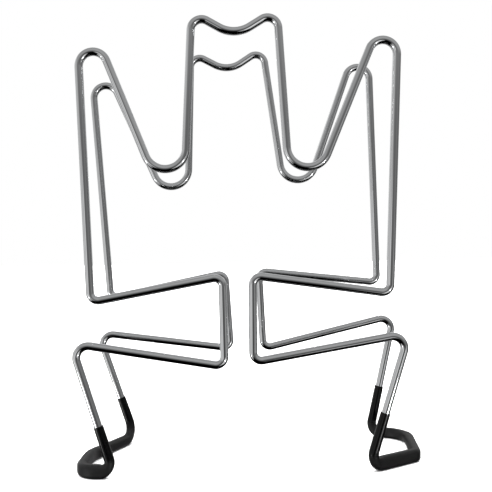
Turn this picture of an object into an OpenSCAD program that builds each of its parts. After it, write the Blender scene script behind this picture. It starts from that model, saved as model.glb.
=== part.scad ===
// Wire stand for photo albums. Two frames of bent round wire stand one behind the other.
// The wire of the front frame runs into the wire of the rear frame through a loop at each foot,
// and every foot loop wears a soft sleeve that also climbs the lower part of both legs.
// Origin: on the ground under the middle of the whole stand. +Z is up and -Y is the front.

/* [Wire] */
// Thickness of the round wire
wire_diameter = 5; // [4:0.5:6]
// Extra thickness of the metal where it is bent
bend_swell = 0.02; // [0.01:0.01:0.05]

/* [Stance] */
// Distance between the centre lines of the two frames, front to back
frame_gap = 87; // [60:1:120]
// Sideways place of the front frame's middle line, which puts the whole stand's middle at the origin
front_middle = -6; // [-9:0.1:0]

/* [Legs and waist, front and rear frame] */
// Half the distance between the knees
knee_half_width = [100.5, 105]; // [80:0.5:120]
// Height of the knees
knee_height = 82; // [70:0.5:95]
// Half the distance between the uprights at the bottom of the waist
waist_low_half_width = [8.5, 11.5]; // [6:0.5:15]
// Height of the bottom of the waist
waist_low_height = 65.5; // [55:0.5:70]
// Half the distance between the uprights at the top of the waist
waist_top_half_width = [9, 12]; // [6:0.5:15]
// Height of the top of the waist
waist_top_height = 119; // [110:0.5:130]

/* [Body and crown, front and rear frame] */
// Half the width of the body at its lower corners
body_half_width = [89, 94.5]; // [75:0.5:110]
// Height of the lower corners of the body
body_height = 106; // [98:0.5:108]
// Half the distance between the outer peaks
peak_half_width = [96.5, 99]; // [80:0.5:110]
// Height where the two straight runs of an outer peak would cross
peak_crossing = [295.5, 296.5]; // [280:0.5:310]
// Half the distance between the low points of the two V shapes
vee_half_width = [33, 37]; // [28:0.5:40]
// Height where the two straight runs of a V would cross
vee_crossing = [138, 139]; // [125:0.5:150]
// Half the distance between the two inner peaks
crown_half_width = 25.5; // [22:0.5:30]
// Height of the inner peaks
crown_height = 276.5; // [265:0.5:285]
// Height of the dip between the inner peaks
dip_height = 261.5; // [255:0.5:270]

/* [Bends, as centre line radii] */
// Sharp bends of the waist and of the body corners
tight_bend = 5; // [4:0.5:7]
// Knees
knee_bend = 7; // [4:0.5:9]
// Round tops of the outer peaks
peak_bend = 8.5; // [7:0.5:11]
// Round bottoms of the V shapes
vee_bend = 12.5; // [9:0.5:15]
// Inner peaks
crown_bend = 6.5; // [5:0.5:8]
// Dip between the inner peaks
dip_bend = 18; // [12:0.5:22]

/* [Hand bending, front and rear frame] */
// How far a frame leans to the left, for each millimetre of height
lean = [0, 0.05]; // [0:0.005:0.08]
// Height at which the lean moves nothing
lean_height = 170; // [100:5:200]
// How far a frame climbs from left to right, for each millimetre of width
climb = [0.014, 0.043]; // [0:0.001:0.06]
// How much lower a frame stands than its heights say
drop = [0, 0.5]; // [0:0.5:3]
// Sideways shift of the knees
knee_shift = [0.5, 0]; // [-2:0.5:2]
// Sideways shift of the waist
waist_shift = [-0.5, -0.5]; // [-2:0.5:2]
// Sideways shift of the body's lower corners
corner_shift = [1, 0]; // [-2:0.5:2]
// Sideways shift of the outer peaks
peak_shift = [2, 1]; // [-2:0.5:2]
// Sideways shift of the V shapes, the inner peaks and the dip
crown_shift = [0, -1]; // [-2:0.5:2]
// How much higher the right half's waist bottom is than the left's
right_waist_lift = [2, -1.5]; // [-2:0.5:2]
// How much higher the right V is than the left one
right_vee_lift = [2, 3.5]; // [-3:0.5:3]

/* [Foot loops] */
// Height of the wire's centre line in the foot loops
loop_height = 3.8; // [3.4:0.1:4]
// Left foot, front corner: across from the front frame's middle line, and front to back
left_front_corner = [-76, -43.5]; // [-130:0.5:130]
// Left foot, tip of the loop
left_tip = [-96.5, -43.5]; // [-130:0.5:130]
// Left foot, shoulder behind the tip
left_shoulder = [-97, -7.5]; // [-130:0.5:130]
// Left foot, rear corner
left_rear_corner = [-75.5, 41.5]; // [-130:0.5:130]
// Right foot, front corner
right_front_corner = [76.5, -41.5]; // [-130:0.5:130]
// Right foot, tip of the loop
right_tip = [109.5, -19]; // [-130:0.5:130]
// Right foot, shoulder behind the tip
right_shoulder = [115.5, 34.5]; // [-130:0.5:130]
// Right foot, rear corner
right_rear_corner = [91, 43.5]; // [-130:0.5:130]
// Centre line radii of the left loop: front corner, tip, shoulder, rear corner
left_loop_bends = [6, 11.5, 30, 11]; // [4:0.5:30]
// Centre line radii of the right loop: front corner, tip, shoulder, rear corner
right_loop_bends = [8, 7, 19, 6]; // [4:0.5:20]

/* [Sleeves] */
// Height the left sleeve reaches on its legs
left_sleeve_top = 31; // [20:1:45]
// Height the right sleeve reaches on its legs
right_sleeve_top = 36; // [20:1:45]
// Outside diameter of a sleeve at its ends
sleeve_end_diameter = 5.9; // [5.4:0.1:6.4]
// Outside diameter of a sleeve at the bottom of the legs
sleeve_leg_diameter = 6.5; // [5.6:0.1:7]
// Width of the flattened band around the foot loop
band_width = 6.2; // [6:0.1:7]
// Height of the band at the front of the loop
band_front_height = 8.6; // [7.2:0.1:9]
// Height of the band at the back of the loop
band_rear_height = 7.2; // [6.8:0.1:8]
// Radius on the long edges of the band
band_edge = 2.5; // [1.5:0.1:2.8]
// How much narrower the sleeve's bore is than the wire, on each side
sleeve_grip = 0.05; // [0:0.01:0.1]

/* [Hidden] */
chrome = [0.80, 0.81, 0.83];
black = [0.06, 0.06, 0.07];
// drawing fineness of the wire and of its bends
wire_sides = 32;
bend_sides = 96;
// each straight run reaches this far into the bend at its end
lap = 0.15;
// number of sides of a sleeve, and of steps along one of its bends
sleeve_sides = 20;
bend_steps = 6;

function unit(v) = v / norm(v);
// v turned about the unit axis k by angle w
function turned(v, k, w) = v * cos(w) + cross(k, v) * sin(w) + k * (k * v) * (1 - cos(w));
function turn_at(path, i) = acos(unit(path[i] - path[i - 1]) * unit(path[i + 1] - path[i]));
// how far from its corner a bend of radius r starts
function reach_at(path, radii, i) = radii[i] == 0 ? 0 : radii[i] * tan(turn_at(path, i) / 2);

// the two frames
front = 0;
rear = 1;
frame_place = [-frame_gap / 2, frame_gap / 2];

// the bends of one half of a frame, from the knee to the inner peak: across, height, radius
function half_frame(side, f) = let (right = side > 0 ? 1 : 0) [
    [side * knee_half_width[f] + knee_shift[f], knee_height, knee_bend],
    [side * waist_low_half_width[f] + waist_shift[f], waist_low_height + right * right_waist_lift[f],
        tight_bend],
    [side * waist_top_half_width[f] + waist_shift[f], waist_top_height, tight_bend],
    [side * body_half_width[f] + corner_shift[f], body_height, tight_bend],
    [side * peak_half_width[f] + peak_shift[f], peak_crossing[f], peak_bend],
    [side * vee_half_width[f] + crown_shift[f], vee_crossing[f] + right * right_vee_lift[f], vee_bend],
    [side * crown_half_width + crown_shift[f], crown_height, crown_bend]
];
function backwards(list) = [for (i = [len(list) - 1:-1:0]) list[i]];
function frame_bends(f) = concat(
    half_frame(-1, f),
    [[crown_shift[f], dip_height, dip_bend]],
    backwards(half_frame(1, f))
);
// where a frame's bend stands, with the frame's lean, climb and drop
function standing(b, f) = [
    b[0] - (b[1] - lean_height) * lean[f] + front_middle,
    frame_place[f],
    b[1] + b[0] * climb[f] - drop[f]
];
function radii_of(bends) = [for (b = bends) b[2]];
front_bends = frame_bends(front);
rear_bends = frame_bends(rear);
front_points = [for (b = front_bends) standing(b, front)];
rear_points = [for (b = rear_bends) standing(b, rear)];

function on_loop(p) = [p[0] + front_middle, p[1], loop_height];
left_loop = [for (p = [left_front_corner, left_tip, left_shoulder, left_rear_corner]) on_loop(p)];
right_loop = [for (p = [right_front_corner, right_tip, right_shoulder, right_rear_corner]) on_loop(p)];
// the two wires butt together on the straight run behind each tip
left_join = (left_loop[1] + left_loop[2]) / 2;
right_join = (right_loop[1] + right_loop[2]) / 2;

front_path = concat([left_join, left_loop[1], left_loop[0]], front_points,
    [right_loop[0], right_loop[1], right_join]);
front_radii = concat([0, left_loop_bends[1], left_loop_bends[0]], radii_of(front_bends),
    [right_loop_bends[0], right_loop_bends[1], 0]);
rear_path = concat([left_join, left_loop[2], left_loop[3]], rear_points,
    [right_loop[3], right_loop[2], right_join]);
rear_radii = concat([0, left_loop_bends[2], left_loop_bends[3]], radii_of(rear_bends),
    [right_loop_bends[3], right_loop_bends[2], 0]);

// straight length of wire from p to q
module straight(p, q) {
    d = q - p;
    translate(p) rotate([0, acos(d[2] / norm(d)), atan2(d[1], d[0])])
        cylinder(d = wire_diameter, h = norm(d), $fn = wire_sides);
}

// bend at corner p, from direction a to direction b, with centre line radius r
module bend(p, a, b, r) {
    turn = acos(a * b);
    axis = unit(cross(a, b));
    out = cross(a, axis);
    centre = p - a * r * tan(turn / 2) - out * r;
    multmatrix([
        [out[0], a[0], axis[0], centre[0]],
        [out[1], a[1], axis[1], centre[1]],
        [out[2], a[2], axis[2], centre[2]],
        [0, 0, 0, 1]
    ])
        rotate_extrude(angle = turn, $fn = bend_sides)
            translate([r, 0]) circle(d = wire_diameter + bend_swell, $fn = wire_sides);
}

// one continuous wire through the corner points of a path
module bent_wire(path, radii) {
    last = len(path) - 1;
    for (i = [0:last - 1]) {
        d = unit(path[i + 1] - path[i]);
        from = i == 0 ? 0 : reach_at(path, radii, i) - lap;
        to = i == last - 1 ? 0 : reach_at(path, radii, i + 1) - lap;
        straight(path[i] + d * from, path[i + 1] - d * to);
    }
    for (i = [1:last - 1])
        bend(path[i], unit(path[i] - path[i - 1]), unit(path[i + 1] - path[i]), radii[i]);
}

// point at height z on the leg that runs from a foot corner up to a knee
function on_leg(corner, knee, z) = corner + (knee - corner) * (z - corner[2]) / (knee[2] - corner[2]);

// a station of the sleeve: wire centre, across, up, half width, half height, edge radius, and how
// far the sleeve's own middle lies above the wire's
function round_station(p, across, up, radius) = [p, across, up, radius, radius, radius, 0];
// part way from the round leg section (0) to the flattened band (1)
function mixed_station(p, across, up, height, part) = let (
    leg = sleeve_leg_diameter / 2,
    tall = leg + (height / 2 - leg) * part
) [
    p, across, up, leg + (band_width / 2 - leg) * part, tall, leg + (band_edge - leg) * part,
    (height / 2 - loop_height) * part
];

// stations through the bend at corner i of a path
// part_in and part_out say how flattened the sleeve is at the start and the end of the bend
function bend_stations(path, radii, i, part_in, part_out, height_in, height_out) = let (
    a = unit(path[i] - path[i - 1]),
    b = unit(path[i + 1] - path[i]),
    turn = acos(a * b),
    axis = unit(cross(a, b)),
    out = cross(a, axis),
    start = path[i] - a * radii[i] * tan(turn / 2),
    centre = start - out * radii[i],
    level = part_in > part_out ? a : b,
    level_across = unit(cross(level, [0, 0, 1]))
) [for (k = [0:bend_steps]) let (
    w = turn * k / bend_steps,
    back = part_in > part_out ? w : w - turn,
    share = k / bend_steps,
    part = part_in + (part_out - part_in) * share * share * (3 - 2 * share)
) mixed_station(
    centre + out * radii[i] * cos(w) + a * radii[i] * sin(w),
    turned(level_across, axis, back), turned([0, 0, 1], axis, back),
    height_in + (height_out - height_in) * share, part
)];

function sleeve_stations(front_knee, loop, rear_knee, radii, top) = let (
    path = concat([on_leg(loop[0], front_knee, top)], loop, [on_leg(loop[3], rear_knee, top)]),
    r = concat([0], radii, [0]),
    middle_height = (band_front_height + band_rear_height) / 2,
    body = concat(
        bend_stations(path, r, 1, 0, 1, band_front_height, band_front_height),
        bend_stations(path, r, 2, 1, 1, band_front_height, band_front_height),
        bend_stations(path, r, 3, 1, 1, middle_height, middle_height),
        bend_stations(path, r, 4, 1, 0, band_rear_height, band_rear_height)
    ),
    first = body[0],
    final = body[len(body) - 1]
) concat(
    [round_station(path[0], first[1], first[2], sleeve_end_diameter / 2)],
    body,
    [round_station(path[5], final[1], final[2], sleeve_end_diameter / 2)]
);

// corners of one station's outline, straight sides lying on the half width and half height
function outline(s) = [for (k = [0:sleeve_sides - 1]) let (
    w = (k + 0.5) * 360 / sleeve_sides,
    edge = s[5] / cos(180 / sleeve_sides)
) s[0] + s[1] * (sign(cos(w)) * (s[3] - s[5]) + edge * cos(w))
    + s[2] * (s[6] + sign(sin(w)) * (s[4] - s[5]) + edge * sin(w))];

module sleeve(stations) {
    n = len(stations);
    m = sleeve_sides;
    bore = wire_diameter / 2 - sleeve_grip;
    outer = [for (s = stations) each outline(s)];
    inner = [for (s = stations) each outline(round_station(s[0], s[1], s[2], bore))];
    walls = [for (i = [0:n - 2], k = [0:m - 1]) let (
        a = i * m + k,
        b = i * m + (k + 1) % m
    ) each [[a, b, b + m], [a, b + m, a + m]]];
    bore_walls = [for (f = walls) [f[2] + n * m, f[1] + n * m, f[0] + n * m]];
    ends = [for (k = [0:m - 1]) let (
        a = k,
        b = (k + 1) % m,
        c = n * m,
        far = (n - 1) * m
    ) each [
        [b, a, a + c], [b, a + c, b + c],
        [a + far, b + far, b + c + far], [a + far, b + c + far, a + c + far]
    ]];
    polyhedron(points = concat(outer, inner), faces = concat(walls, bore_walls, ends));
}

left_stations = sleeve_stations(front_points[0], left_loop, rear_points[0], left_loop_bends,
    left_sleeve_top);
right_stations = sleeve_stations(front_points[14], right_loop, rear_points[14], right_loop_bends,
    right_sleeve_top);

module front_wire_frame() {
    color(chrome) bent_wire(front_path, front_radii);
}

module rear_wire_frame() {
    color(chrome) bent_wire(rear_path, rear_radii);
}

module left_foot_sleeve() {
    color(black) sleeve(left_stations);
}

module right_foot_sleeve() {
    color(black) sleeve(right_stations);
}

front_wire_frame();
rear_wire_frame();
left_foot_sleeve();
right_foot_sleeve();
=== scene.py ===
# Chromed wire stand with black foot sleeves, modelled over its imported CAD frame.
import math
import bpy
from mathutils import Euler, Matrix, Quaternion, Vector


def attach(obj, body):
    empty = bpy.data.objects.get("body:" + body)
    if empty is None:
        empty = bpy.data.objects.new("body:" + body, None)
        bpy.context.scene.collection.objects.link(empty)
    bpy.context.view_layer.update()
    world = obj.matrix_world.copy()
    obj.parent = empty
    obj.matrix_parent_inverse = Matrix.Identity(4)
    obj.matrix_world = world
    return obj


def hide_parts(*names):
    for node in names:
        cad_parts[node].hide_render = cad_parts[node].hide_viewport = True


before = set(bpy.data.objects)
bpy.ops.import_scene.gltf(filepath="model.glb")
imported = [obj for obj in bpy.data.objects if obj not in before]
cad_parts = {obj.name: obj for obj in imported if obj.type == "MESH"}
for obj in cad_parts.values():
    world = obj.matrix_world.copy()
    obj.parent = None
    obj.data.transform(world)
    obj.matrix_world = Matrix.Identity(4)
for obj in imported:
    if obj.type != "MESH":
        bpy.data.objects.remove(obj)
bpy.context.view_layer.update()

# Blender is in metres; the numbers of the route are in millimetres, as in the CAD
MM = 0.001

# ---------------------------------------------------------------- the wire's route, as in the CAD
WIRE_RADIUS = 2.5 * MM
# where the frames' middle lies across, from the middle of the whole stand
FRONT_MIDDLE = -6.0
# how far each frame stands in front of or behind the middle
HALF_GAP = 43.5
# height of the foot loops' centre line
LOOP_HEIGHT = 3.8
# centre line radius of the tightest bends
TIGHT = 5.0

# one half of a frame, from the knee to the inner peak of the crown: half width of the front and of
# the rear frame at each bend, height, centre line radius
BENDS = {
    "knee": (100.5, 105.0, 82.0, 7.0),
    "waist_low": (8.5, 11.5, 65.5, TIGHT),
    "waist_top": (9.0, 12.0, 119.0, TIGHT),
    "corner": (89.0, 94.5, 106.0, TIGHT),
    "peak": (96.5, 99.0, 295.5, 8.5),
    "vee": (33.0, 37.0, 138.0, 12.5),
    "crown": (25.5, 25.5, 276.5, 6.5),
}
# height and radius of the dip between the two inner peaks
DIP = (261.5, 18.0)

# how far each frame strays from a symmetric outline: front, rear
KNEE_SHIFT = (0.5, 0.0)
WAIST_SHIFT = (-0.5, -0.5)
CORNER_SHIFT = (1.0, 0.0)
PEAK_SHIFT = (2.0, 1.0)
MIDDLE_SHIFT = (0.0, -1.0)
PRONG_LIFT = (0.0, 1.0)
RIGHT_WAIST_LIFT = (2.0, -1.5)
RIGHT_VEE_LIFT = (2.0, 3.5)
# shift to the left for each millimetre above the lean height
LEAN_HEIGHT = 170.0
LEAN = (0.0, 0.05)
# rise for each millimetre to the right, and how much lower the whole frame sits
CLIMB = (0.014, 0.043)
DROP = (0.0, 0.5)

# foot loops: front corner, tip, shoulder, rear corner, each across, front to back, radius
LEFT_LOOP = [(-76.0, -43.5, 6.0), (-96.5, -43.5, 11.5), (-97.0, -7.5, 30.0), (-75.5, 41.5, 11.0)]
RIGHT_LOOP = [(76.5, -41.5, 8.0), (109.5, -19.0, 7.0), (115.5, 34.5, 19.0), (91.0, 43.5, 6.0)]


def half_bends(side, which):
    """One half of a frame from the knee to the inner peak: [(across, height, radius)]."""
    shift = {"knee": KNEE_SHIFT, "waist_low": WAIST_SHIFT, "waist_top": WAIST_SHIFT,
             "corner": CORNER_SHIFT, "peak": PEAK_SHIFT}
    out = []
    for name, (*half_widths, height, radius) in BENDS.items():
        if name in ("peak", "vee"):
            height += PRONG_LIFT[which]
        if name == "waist_low" and side > 0:
            height += RIGHT_WAIST_LIFT[which]
        if name == "vee" and side > 0:
            height += RIGHT_VEE_LIFT[which]
        across = side * half_widths[which] + shift.get(name, MIDDLE_SHIFT)[which]
        out.append((across, height, radius))
    return out


def frame_bends(which):
    """Bend points of the front (0) or rear (1) frame from knee to knee, in metres."""
    dip = (MIDDLE_SHIFT[which], *DIP)
    out = []
    for x, z, r in half_bends(-1, which) + [dip] + half_bends(1, which)[::-1]:
        across = x - (z - LEAN_HEIGHT) * LEAN[which] + FRONT_MIDDLE
        place = Vector((across, (-HALF_GAP, HALF_GAP)[which], z + x * CLIMB[which] - DROP[which]))
        out.append((place * MM, r * MM))
    return out


def loop_bends(loop):
    """Bend points of a foot loop, in metres."""
    return [(Vector((x + FRONT_MIDDLE, y, LOOP_HEIGHT)) * MM, r * MM) for x, y, r in loop]


def joined(loop):
    """Where the front wire meets the rear wire, half way from the tip to the shoulder: no bend."""
    return ((loop[1][0] + loop[2][0]) / 2, 0.0)


front = frame_bends(0)
rear = frame_bends(1)
left = loop_bends(LEFT_LOOP)
right = loop_bends(RIGHT_LOOP)
FRONT_PATH = [joined(left), left[1], left[0], *front, right[0], right[1], joined(right)]
REAR_PATH = [joined(left), left[2], left[3], *rear, right[3], right[2], joined(right)]


def unit(v):
    return v.normalized()


def walk(path, arc_steps=24, straight_step=0.012):
    """Stations along a bent wire: [(place, direction)]."""
    n = len(path)
    ways = [unit(path[i + 1][0] - path[i][0]) for i in range(n - 1)]
    reach = [0.0] * n
    for i in range(1, n - 1):
        reach[i] = path[i][1] * math.tan(ways[i - 1].angle(ways[i]) / 2)
    out = []
    for i in range(n - 1):
        a = path[i][0] + ways[i] * reach[i]
        b = path[i + 1][0] - ways[i] * reach[i + 1]
        steps = max(2, int((b - a).length / straight_step))
        for k in range(steps + 1):
            out.append((a.lerp(b, k / steps), ways[i]))
        if i == n - 2:
            break
        turn = ways[i].angle(ways[i + 1])
        axis = unit(ways[i].cross(ways[i + 1]))
        side = ways[i].cross(axis)
        centre = b - side * path[i + 1][1]
        for k in range(1, arc_steps):
            q = Quaternion(axis, turn * k / arc_steps)
            out.append((centre + (q @ side) * path[i + 1][1], q @ ways[i]))
    return out


def carried_frames(stations, across):
    """Across and up vectors at every station, carried along the route without twist."""
    out = []
    before = None
    for place, way in stations:
        if before is not None:
            across = before.rotation_difference(way) @ across
        across = unit(across - way * across.dot(way))
        out.append((across, across.cross(way)))
        before = way
    return out


def skin(name, rings, normals):
    """A tube mesh with closed ends from rings of points with exact normals, smooth shaded."""
    m = len(rings[0])
    verts = [p for ring in rings for p in ring]
    norms = [p for ring in normals for p in ring]
    faces = []
    for i in range(len(rings) - 1):
        for k in range(m):
            a, b = i * m + k, i * m + (k + 1) % m
            faces.append((a, a + m, b + m, b))
    faces.append(tuple(range(m)))
    faces.append(tuple(reversed(range((len(rings) - 1) * m, len(rings) * m))))
    mesh = bpy.data.meshes.new(name)
    mesh.from_pydata(verts, [], faces)
    mesh.validate()
    mesh.polygons.foreach_set("use_smooth", [True] * len(mesh.polygons))
    mesh.normals_split_custom_set_from_vertices(norms)
    obj = bpy.data.objects.new(name, mesh)
    bpy.context.scene.collection.objects.link(obj)
    return obj


def bent_wire(name, path, sides=32):
    """Round wire along a path of bends."""
    stations = walk(path)
    frames = carried_frames(stations, stations[0][1].orthogonal())
    rings, normals = [], []
    for (place, way), (across, up) in zip(stations, frames):
        rays = [
            across * math.cos(2 * math.pi * k / sides) + up * math.sin(2 * math.pi * k / sides)
            for k in range(sides)
        ]
        rings.append([place + ray * WIRE_RADIUS for ray in rays])
        normals.append(rays)
    return skin(name, rings, normals)


# ---------------------------------------------------------------- the sleeves
# how high each sleeve reaches up its legs
LEFT_TOP, RIGHT_TOP = 31.0 * MM, 36.0 * MM
# round part: radius at the upper ends and just above the loop
END_RADIUS, LEG_RADIUS = 2.95 * MM, 3.25 * MM
# band: half width, height at the front and at the rear, radius of its long edges
BAND_HALF_WIDTH, BAND_FRONT, BAND_REAR = 3.1 * MM, 8.6 * MM, 7.2 * MM
BAND_EDGE = 2.5 * MM
# length over which the round part turns into the band
BAND_CORNER = 9.0 * MM
# rolled lip at each end
LIP = 0.35 * MM
LIP_STEPS = 5
# a direction counts as level when it rises less than this
LEVEL = 1e-4


def smooth(t):
    """Ease from 0 to 1."""
    t = min(1.0, max(0.0, t))
    return t * t * (3 - 2 * t)


def on_leg(corner, knee, z):
    """The place at height z on the leg from a loop's corner up to the knee."""
    return corner + (knee - corner) * ((z - corner.z) / (knee.z - corner.z))


def travelled(stations):
    """How far along the route each station lies."""
    out = [0.0]
    for (p, _), (q, _) in zip(stations, stations[1:]):
        out.append(out[-1] + (q - p).length)
    return out


def acrosses_from(stations, first):
    """Across vectors carried both ways from a level station, where up is straight up."""
    start = unit(stations[first][1].cross(Vector((0, 0, 1))))
    forward = carried_frames(stations[first:], start)
    backward = carried_frames(stations[first::-1], start)
    return [across for across, _ in backward[:0:-1] + forward]


def section(here, start, end, total):
    """Half width, half height, edge radius and lift, for a band from start to end of the route."""
    if here < start:
        part = smooth(1 - (start - here) / BAND_CORNER)
        toward_end = (start - here) / start
        height = BAND_FRONT
    elif here > end:
        part = smooth(1 - (here - end) / BAND_CORNER)
        toward_end = (here - end) / (total - end)
        height = BAND_REAR
    else:
        part, toward_end = 1.0, 0.0
        share = smooth((here - start) / (end - start))
        height = BAND_FRONT + (BAND_REAR - BAND_FRONT) * share
    leg = LEG_RADIUS + (END_RADIUS - LEG_RADIUS) * toward_end
    wide = leg + (BAND_HALF_WIDTH - leg) * part
    tall = leg + (height / 2 - leg) * part
    edge = leg + (BAND_EDGE - leg) * part
    lift = (height / 2 - LOOP_HEIGHT * MM) * part
    return wide, tall, edge, lift


def sleeve_ring(place, across, up, size, angles):
    """Points and normals of a rounded section."""
    wide, tall, edge, lift = size
    ring, norm = [], []
    for angle in angles:
        c, s = math.cos(angle), math.sin(angle)
        x = math.copysign(wide - edge, c) + edge * c
        y = math.copysign(tall - edge, s) + edge * s + lift
        ring.append(place + across * x + up * y)
        norm.append(unit(across * c + up * s))
    return ring, norm


def lip_rings(place, across, up, out, angles):
    """Rings and normals of a rolled lip that closes an end onto the wire, from its rim outwards."""
    rings, normals = [], []
    for step in range(1, LIP_STEPS + 1):
        a = math.pi / 2 * step / LIP_STEPS
        radius = END_RADIUS - LIP * (1 - math.cos(a))
        rays = [across * math.cos(angle) + up * math.sin(angle) for angle in angles]
        rings.append([place + ray * radius + out * (LIP * math.sin(a) - LIP) for ray in rays])
        normals.append([unit(ray * math.cos(a) + out * math.sin(a)) for ray in rays])
    return rings, normals


def sleeve(name, loop, front_knee, rear_knee, top, sides=48):
    """Soft tube over a foot loop: round on the legs, a taller flattened band round the loop."""
    front_end, rear_end = on_leg(loop[0][0], front_knee, top), on_leg(loop[3][0], rear_knee, top)
    stations = walk([(front_end, 0.0), *loop, (rear_end, 0.0)], arc_steps=20, straight_step=0.002)
    travel = travelled(stations)
    level = [i for i, (_, way) in enumerate(stations) if abs(way.z) < LEVEL]
    start, end = travel[level[0]], travel[level[-1]]
    angles = [2 * math.pi * (k + 0.5) / sides for k in range(sides)]
    acrosses = acrosses_from(stations, level[0])
    ups = [across.cross(way) for across, (_, way) in zip(acrosses, stations)]
    rings, normals = [], []
    for (place, _), across, up, here in zip(stations, acrosses, ups, travel):
        ring, norm = sleeve_ring(place, across, up, section(here, start, end, travel[-1]), angles)
        rings.append(ring)
        normals.append(norm)
    # the end rings draw back by the lip's length, so that the sleeve with its lips ends at the top
    for i, out in ((0, -stations[0][1]), (-1, stations[-1][1])):
        rings[i] = [p - out * LIP for p in rings[i]]
    front_lip = lip_rings(stations[0][0], acrosses[0], ups[0], -stations[0][1], angles)
    rear_lip = lip_rings(stations[-1][0], acrosses[-1], ups[-1], stations[-1][1], angles)
    rings = front_lip[0][::-1] + rings + rear_lip[0]
    normals = front_lip[1][::-1] + normals + rear_lip[1]
    return skin(name, rings, normals)


# ---------------------------------------------------------------- materials
def node_material(name):
    """A new material with one principled shader."""
    mat = bpy.data.materials.new(name)
    mat.use_nodes = True
    tree = mat.node_tree
    tree.nodes.clear()
    out = tree.nodes.new("ShaderNodeOutputMaterial")
    shader = tree.nodes.new("ShaderNodeBsdfPrincipled")
    tree.links.new(shader.outputs["BSDF"], out.inputs["Surface"])
    return mat, tree, shader


def object_noise(tree, scale, detail, roughness):
    """Noise that sits still on the object, about 0 to 1."""
    place = tree.nodes.new("ShaderNodeTexCoord")
    noise = tree.nodes.new("ShaderNodeTexNoise")
    noise.inputs["Scale"].default_value = scale
    noise.inputs["Detail"].default_value = detail
    noise.inputs["Roughness"].default_value = roughness
    tree.links.new(place.outputs["Object"], noise.inputs["Vector"])
    return noise.outputs["Fac"]


def mapped_noise(tree, scale, detail, roughness, low, high):
    """The same noise mapped onto low..high."""
    span = tree.nodes.new("ShaderNodeMapRange")
    span.inputs["To Min"].default_value = low
    span.inputs["To Max"].default_value = high
    tree.links.new(object_noise(tree, scale, detail, roughness), span.inputs["Value"])
    return span.outputs["Result"]


def fine_bump(tree, shader, scale, detail, roughness, strength, distance):
    """Fine unevenness of the surface, distance in metres."""
    bump = tree.nodes.new("ShaderNodeBump")
    bump.inputs["Strength"].default_value = strength
    bump.inputs["Distance"].default_value = distance
    tree.links.new(object_noise(tree, scale, detail, roughness), bump.inputs["Height"])
    tree.links.new(bump.outputs["Normal"], shader.inputs["Normal"])


def chrome_material():
    """Bright plate, a little hazier in patches, with the faint ripple of drawn wire."""
    mat, tree, shader = node_material("chrome_plate")
    shader.inputs["Metallic"].default_value = 1.0
    shader.inputs["Base Color"].default_value = (0.86, 0.87, 0.88, 1)
    rough = mapped_noise(tree, scale=60.0, detail=4.0, roughness=0.6, low=0.03, high=0.09)
    tree.links.new(rough, shader.inputs["Roughness"])
    fine_bump(tree, shader, scale=220.0, detail=2.0, roughness=0.5,
              strength=0.008, distance=0.05 * MM)
    return mat


# heights between which the legs' gloss turns into the band's satin
BAND_FADE_TOP, BAND_FADE_BOTTOM = 13.0 * MM, 8.0 * MM


def sleeve_material():
    """Glossy black vinyl on the legs, scuffed to a greyer satin on the band that is stood on."""
    mat, tree, shader = node_material("black_vinyl")
    place = tree.nodes.new("ShaderNodeTexCoord")
    axes = tree.nodes.new("ShaderNodeSeparateXYZ")
    tree.links.new(place.outputs["Object"], axes.inputs["Vector"])
    low = tree.nodes.new("ShaderNodeMapRange")
    low.interpolation_type = "SMOOTHSTEP"
    low.inputs["From Min"].default_value = BAND_FADE_TOP
    low.inputs["From Max"].default_value = BAND_FADE_BOTTOM
    tree.links.new(axes.outputs["Z"], low.inputs["Value"])
    grey = tree.nodes.new("ShaderNodeMix")
    grey.data_type = "RGBA"
    grey.inputs["A"].default_value = (0.003, 0.003, 0.0032, 1)
    grey.inputs["B"].default_value = (0.008, 0.008, 0.008, 1)
    scuff = object_noise(tree, scale=160.0, detail=5.0, roughness=0.6)
    tree.links.new(scuff, grey.inputs["Factor"])
    colour = tree.nodes.new("ShaderNodeMix")
    colour.data_type = "RGBA"
    colour.inputs["A"].default_value = (0.0005, 0.0005, 0.0006, 1)
    tree.links.new(low.outputs["Result"], colour.inputs["Factor"])
    tree.links.new(grey.outputs["Result"], colour.inputs["B"])
    tree.links.new(colour.outputs["Result"], shader.inputs["Base Color"])
    shader.inputs["Specular IOR Level"].default_value = 0.3
    rough = mapped_noise(tree, scale=120.0, detail=5.0, roughness=0.6, low=0.05, high=0.11)
    satin = mapped_noise(tree, scale=300.0, detail=4.0, roughness=0.6, low=0.34, high=0.46)
    gloss = tree.nodes.new("ShaderNodeMix")
    tree.links.new(low.outputs["Result"], gloss.inputs["Factor"])
    tree.links.new(rough, gloss.inputs["A"])
    tree.links.new(satin, gloss.inputs["B"])
    tree.links.new(gloss.outputs["Result"], shader.inputs["Roughness"])
    fine_bump(tree, shader, scale=700.0, detail=4.0, roughness=0.6,
              strength=0.04, distance=0.1 * MM)
    return mat


chrome = chrome_material()
vinyl = sleeve_material()

pieces = [
    (bent_wire("front_wire", FRONT_PATH), "front_wire_frame", "chrome_wire", chrome),
    (bent_wire("rear_wire", REAR_PATH), "rear_wire_frame", "chrome_wire", chrome),
    (sleeve("left_sleeve", left, front[0][0], rear[0][0], LEFT_TOP), "left_foot_sleeve",
     "black_sleeve", vinyl),
    (sleeve("right_sleeve", right, front[-1][0], rear[-1][0], RIGHT_TOP), "right_foot_sleeve",
     "black_sleeve", vinyl),
]
for piece, node, slot, mat in pieces:
    piece.data.materials.append(mat)
    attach(piece, "root")
    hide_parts(node)

# ---------------------------------------------------------------- floor, light and camera
scene = bpy.context.scene
scene.view_settings.view_transform = "Standard"


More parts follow.
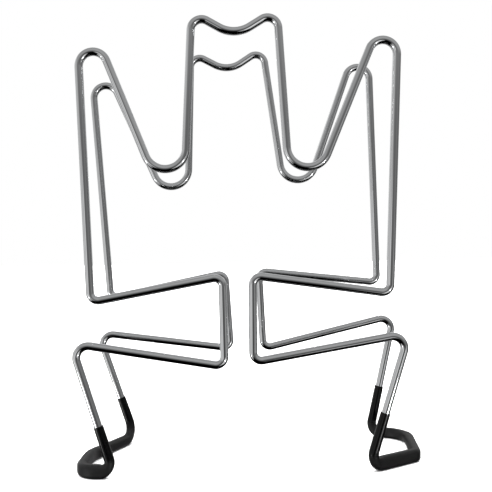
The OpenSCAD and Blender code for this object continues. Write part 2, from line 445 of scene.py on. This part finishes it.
def floor(half=6.0):
    """A white sheet that the chrome does not mirror, so the wires stay dark underneath."""
    mesh = bpy.data.meshes.new("floor")
    corners = [(-half, -half, 0), (half, -half, 0), (half, half, 0), (-half, half, 0)]
    mesh.from_pydata(corners, [], [(0, 1, 2, 3)])
    obj = bpy.data.objects.new("floor", mesh)
    scene.collection.objects.link(obj)
    mat, tree, shader = node_material("floor_paper")
    shader.inputs["Base Color"].default_value = (0.9, 0.9, 0.9, 1)
    shader.inputs["Roughness"].default_value = 0.9
    shader.inputs["Specular IOR Level"].default_value = 0.0
    mesh.materials.append(mat)
    obj.visible_glossy = False
    obj.visible_shadow = False


floor()


# what the chrome reflects: azimuth from straight in front (left is negative) and
# elevation of the lobe's middle, full inside this angle, gone outside this angle, strength
LOBES = [
    # from overhead, and high in front
    (0, 90, 85, 112, 0.165),
    (0, 90, 62, 84, 0.24),
    (0, 52, 12, 30, 0.05),
    # from the left
    (-58, -4, 14, 34, 0.32),
    (-115, 0, 28, 46, 0.34),
    (-86, 4, 14, 34, 0.10),
    (-64, -27, 13, 20, 0.60),
    (-70, -12, 6, 17, 0.25),
    (-30, -8, 11, 18, 0.52),
    # from the right
    (48, -2, 10, 24, 0.05),
    (34, -25, 12, 18, 0.50),
    (22, -26, 10, 17, 0.50),
    (60, -24, 17, 27, 0.32),
    # from behind, with a darker middle
    (180, 0, 46, 54, 0.60),
    (180, 0, 14, 30, -0.50),
    # two small bright lamps
    (-62, -24, 2.5, 4.0, 15.0),
    (42, -24, 2.5, 4.0, 18.0),
]


def studio_world():
    """White backdrop to the eye; a plain studio of soft lobes to everything that reflects it."""
    world = bpy.data.worlds.new("studio")
    scene.world = world
    world.use_nodes = True
    tree = world.node_tree
    tree.nodes.clear()
    new, link = tree.nodes.new, tree.links.new
    out = new("ShaderNodeOutputWorld")
    where = new("ShaderNodeTexCoord")

    def lobe(azimuth, elevation, inner, outer, strength):
        a, e = math.radians(azimuth), math.radians(elevation)
        d = Vector((math.sin(a) * math.cos(e), -math.cos(a) * math.cos(e), math.sin(e)))
        dot = new("ShaderNodeVectorMath")
        dot.operation = "DOT_PRODUCT"
        dot.inputs[1].default_value = d
        link(where.outputs["Generated"], dot.inputs[0])
        span = new("ShaderNodeMapRange")
        span.interpolation_type = "SMOOTHSTEP"
        span.inputs["From Min"].default_value = math.cos(math.radians(outer))
        span.inputs["From Max"].default_value = math.cos(math.radians(inner))
        span.inputs["To Min"].default_value = 0.0
        span.inputs["To Max"].default_value = strength
        link(dot.outputs["Value"], span.inputs["Value"])
        return span.outputs["Result"]

    def add(a, b):
        node = new("ShaderNodeMath")
        node.operation = "ADD"
        link(a, node.inputs[0])
        link(b, node.inputs[1])
        return node.outputs["Value"]

    total = lobe(*LOBES[0])
    for args in LOBES[1:]:
        total = add(total, lobe(*args))
    glow = new("ShaderNodeBackground")
    link(total, glow.inputs["Strength"])
    seen = new("ShaderNodeBackground")
    seen.inputs["Color"].default_value = (1, 1, 1, 1)
    mix = new("ShaderNodeMixShader")
    rays = new("ShaderNodeLightPath")
    link(rays.outputs["Is Camera Ray"], mix.inputs["Fac"])
    link(glow.outputs["Background"], mix.inputs[1])
    link(seen.outputs["Background"], mix.inputs[2])
    link(mix.outputs["Shader"], out.inputs["Surface"])


studio_world()


def add_light(name, kind, place):
    """A light that reflections do not show."""
    data = bpy.data.lights.new(name, kind)
    obj = bpy.data.objects.new(name, data)
    obj.location = place
    obj.visible_glossy = False
    scene.collection.objects.link(obj)
    return obj, data


SUN_PLACE, SUN_STRENGTH, SUN_WIDTH = (0, 0, 2), 7.5, math.radians(100)
_, sun = add_light("overhead", "SUN", SUN_PLACE)
sun.energy = SUN_STRENGTH
sun.angle = SUN_WIDTH

KEY_PLACE, KEY_TARGET = Vector((-0.7, -0.9, 0.9)), Vector((0, 0, 0.05))
KEY_SIZE, KEY_RADIANCE = 0.5, 12.0
key, box = add_light("key", "AREA", KEY_PLACE)
key.rotation_euler = (KEY_TARGET - KEY_PLACE).to_track_quat("-Z", "Y").to_euler()
key.visible_camera = False
box.shape = "RECTANGLE"
box.size = box.size_y = KEY_SIZE
box.energy = KEY_RADIANCE * math.pi * KEY_SIZE * KEY_SIZE

CAMERA_PLACE = (-0.0032, -0.4858, 0.1359)
CAMERA_UP_TILT = math.radians(0.1)
CAMERA_TURN = math.radians(-0.26)
CAMERA_ROLL = math.radians(0.91)
LENS, SENSOR_WIDTH = 54.5, 36.0
data = bpy.data.cameras.new("camera")
data.lens = LENS
data.sensor_width = SENSOR_WIDTH
data.clip_start = 0.01
camera = bpy.data.objects.new("camera", data)
camera.location = CAMERA_PLACE
turned = Euler((math.pi / 2 + CAMERA_UP_TILT, 0, CAMERA_TURN)).to_matrix().to_4x4()
camera.rotation_euler = (turned @ Matrix.Rotation(-CAMERA_ROLL, 4, "Z")).to_euler()
scene.collection.objects.link(camera)
scene.camera = camera
